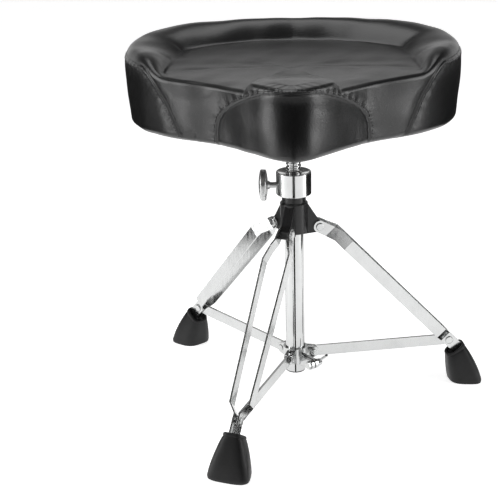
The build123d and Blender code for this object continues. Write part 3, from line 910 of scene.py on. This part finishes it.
def build_floor():
    look = Look("floor_white", 0.0)
    look.colour(look.noise(3.0, 3.0), [(0.3, (0.86, 0.86, 0.86)), (0.7, (0.90, 0.90, 0.90))])
    look.roughness(look.noise(12.0, 3.0), 0.55, 0.7)
    look.shader.inputs["Emission Color"].default_value = (1, 1, 1, 1)
    look.shader.inputs["Emission Strength"].default_value = FLOOR_GLOW
    half = FLOOR_HALF
    corners = [(-half, -half, 0), (half, -half, 0), (half, half, 0), (-half, half, 0)]
    mesh = bpy.data.meshes.new("floor")
    mesh.from_pydata(corners, [], [(0, 1, 2, 3)])
    mesh.materials.append(look.material)
    floor = bpy.data.objects.new("floor", mesh)
    bpy.context.scene.collection.objects.link(floor)


def softbox(name, place, aim, size, power):
    light = bpy.data.lights.new(name, "AREA")
    light.shape = "RECTANGLE"
    light.size, light.size_y = size
    light.energy = power
    lamp = bpy.data.objects.new(name, light)
    lamp.location = place
    lamp.rotation_euler = (Vector(aim) - Vector(place)).to_track_quat("-Z", "Y").to_euler()
    lamp.visible_camera = False
    bpy.context.scene.collection.objects.link(lamp)


def card(name, corners, shade):
    """A dark flag that only reflections see: the camera and the shadows pass it by."""
    material = bpy.data.materials.new(name)
    material.use_nodes = True
    tree = material.node_tree
    tree.nodes.clear()
    glow = tree.nodes.new("ShaderNodeEmission")
    glow.inputs["Color"].default_value = (shade, shade, shade, 1)
    output = tree.nodes.new("ShaderNodeOutputMaterial")
    tree.links.new(glow.outputs["Emission"], output.inputs["Surface"])
    mesh = bpy.data.meshes.new(name)
    mesh.from_pydata(corners, [], [tuple(range(len(corners)))])
    mesh.materials.append(material)
    piece = bpy.data.objects.new(name, mesh)
    bpy.context.scene.collection.objects.link(piece)
    piece.visible_camera = False
    piece.visible_diffuse = False
    piece.visible_shadow = False
    piece.visible_transmission = False


def wall_corners(start, end, low, high):
    """A standing rectangle between two floor points."""
    return [(*start, low), (*end, low), (*end, high), (*start, high)]


def build_lights():
    softbox("light_top", (-0.3, 0.3, 2.2), (0, 0.1, 0.4), (1.8, 1.0), 17)
    softbox("light_left", (-SIDE_X, SIDE_Y, 0.72), SIDE_AIM, (0.4, 0.9), 6.3)
    softbox("light_right", (SIDE_X, SIDE_Y, 0.72), SIDE_AIM, (0.4, 0.9), 5.7)
    softbox("light_left_low", (-SIDE_X, SIDE_Y, 0.06), SIDE_AIM, (0.4, 0.12), 1.1)
    softbox("light_right_low", (SIDE_X, SIDE_Y, 0.06), SIDE_AIM, (0.4, 0.12), 1.05)
    card("card_line", wall_corners((-0.06, -0.42), (0.06, -0.42), 0.0, 0.30), 0.0)
    wedge = [(-0.003, -0.03), (-0.06, -0.42), (0.06, -0.42), (0.003, -0.03)]
    card("card_floor", [(x, y, 0.001) for x, y in wedge], 0.0)
    for index, azimuth in enumerate(range(-60, 60, 12)):
        ends = []
        for angle in (azimuth, azimuth + 12):
            turn = math.radians(angle)
            ends.append((0.14 * math.sin(turn), -0.09 - 0.14 * math.cos(turn)))
        card(f"card_nose_{index}", wall_corners(*ends, 0.33, 0.45), 0.0)
    for side, name in ((-1, "left"), (1, "right")):
        path = [(side * 0.62, -0.07), (side * 0.62, 0.35), (side * 0.45, 0.75), (side * 0.2, 1.0)]
        for index, (start, end) in enumerate(zip(path, path[1:])):
            card(f"card_{name}_{index}", wall_corners(start, end, 0.0, 0.43), 0.01)
    world = bpy.data.worlds.new("studio")
    world.use_nodes = True
    tree = world.node_tree
    split = tree.nodes.new("ShaderNodeSeparateXYZ")
    tree.links.new(tree.nodes.new("ShaderNodeTexCoord").outputs["Generated"], split.inputs["Vector"])
    fade = tree.nodes.new("ShaderNodeValToRGB")
    stops = [(0.0, 1.0), (0.28, 0.95), (0.46, 0.35), (0.7, 0.10), (1.0, 0.05)]
    fade.color_ramp.elements[0].color = (1, 1, 1, 1)
    fade.color_ramp.elements[1].color = (stops[-1][1],) * 3 + (1,)
    for position, level in stops[1:-1]:
        fade.color_ramp.elements.new(position).color = (level, level, level, 1)
    tree.links.new(split.outputs["Z"], fade.inputs["Fac"])
    tree.links.new(fade.outputs["Color"], tree.nodes["Background"].inputs["Color"])
    bpy.context.scene.world = world


def build_camera():
    pitch, yaw, roll = (math.radians(a) for a in (CAMERA_PITCH, CAMERA_YAW, CAMERA_ROLL))
    up = Vector((0, 0, 1))
    forward = Vector((math.sin(yaw), math.cos(yaw), 0))
    right = Vector((math.cos(yaw), -math.sin(yaw), 0))
    tilted = forward * math.cos(pitch) - up * math.sin(pitch)
    above = forward * math.sin(pitch) + up * math.cos(pitch)
    x_axis = right * math.cos(roll) + above * math.sin(roll)
    y_axis = above * math.cos(roll) - right * math.sin(roll)
    data = bpy.data.cameras.new("camera")
    data.lens = CAMERA_LENS
    data.sensor_width = 36
    data.shift_x, data.shift_y = CAMERA_SHIFT
    camera = bpy.data.objects.new("camera", data)
    turn = Matrix((x_axis, y_axis, -tilted)).transposed().to_4x4()
    camera.matrix_world = Matrix.Translation(CAMERA_PLACE) @ turn
    bpy.context.scene.collection.objects.link(camera)
    bpy.context.scene.camera = camera


build_floor()
build_lights()
build_camera()
bpy.context.scene.view_settings.view_transform = "Standard"
